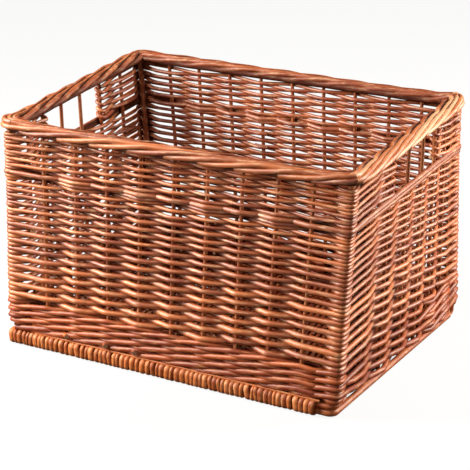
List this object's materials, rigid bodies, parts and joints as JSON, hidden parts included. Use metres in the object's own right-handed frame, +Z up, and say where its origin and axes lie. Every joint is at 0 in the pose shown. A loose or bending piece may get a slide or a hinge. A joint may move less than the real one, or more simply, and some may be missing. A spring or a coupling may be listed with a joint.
{
  "type": "wicker display basket",
  "caption": "Rectangular willow basket, open at the top, with woven siding on upright stakes, a roped border, a bound base and a barred hand hole in each end, for display and storage.",
  "frame": {"origin": "on the ground under the middle of the basket", "axes": "+X along the long walls to the viewer's right, +Y from the front wall to the back wall, +Z up"},
  "size_m": [0.5215, 0.4086, 0.3191],
  "materials": {
    "stakes": "satin buff willow rods, reddish brown",
    "siding": "satin buff willow, reddish brown with paler rods",
    "wale": "satin buff willow, thicker rods",
    "border": "satin buff willow, paler where it is smooth",
    "binding": "satin buff willow wound close",
    "base": "satin buff willow sticks"
  },
  "bodies": {
    "root": {"post_left_front": "stakes", "post_front_right": "stakes", "post_right_back": "stakes", "post_back_left": "stakes", "stake_front_1": "stakes", "stake_front_2": "stakes", "stake_front_3": "stakes", "stake_front_4": "stakes", "stake_front_5": "stakes", "stake_front_6": "stakes", "stake_front_7": "stakes", "stake_front_8": "stakes", "stake_front_9": "stakes", "stake_right_1": "stakes", "stake_right_2": "stakes", "stake_right_3": "stakes", "stake_right_4": "stakes", "stake_right_5": "stakes", "stake_right_6": "stakes", "stake_back_1": "stakes", "stake_back_2": "stakes", "stake_back_3": "stakes", "stake_back_4": "stakes", "stake_back_5": "stakes", "stake_back_6": "stakes", "stake_back_7": "stakes", "stake_back_8": "stakes", "stake_back_9": "stakes", "stake_left_1": "stakes", "stake_left_2": "stakes", "stake_left_3": "stakes", "stake_left_4": "stakes", "stake_left_5": "stakes", "stake_left_6": "stakes", "foot_wale_1": "wale", "foot_wale_2": "wale", "foot_wale_3": "wale", "lower_siding_1": "siding", "lower_siding_2": "siding", "hole_wale_1": "wale", "hole_wale_2": "wale", "hole_wale_3": "wale", "upper_siding_front": "siding", "upper_siding_back": "siding", "border_strand_1": "border", "border_strand_2": "border", "border_strand_3": "border", "border_strand_4": "border", "edge_stick_front": "base", "edge_binding_front": "binding", "edge_stick_back": "base", "edge_binding_back": "binding", "floor_stick_1": "base", "floor_stick_2": "base", "floor_stick_3": "base", "floor_stick_4": "base", "floor_stick_5": "base", "floor_stick_6": "base", "floor_weaver": "base"}
  },
  "joints": []
}
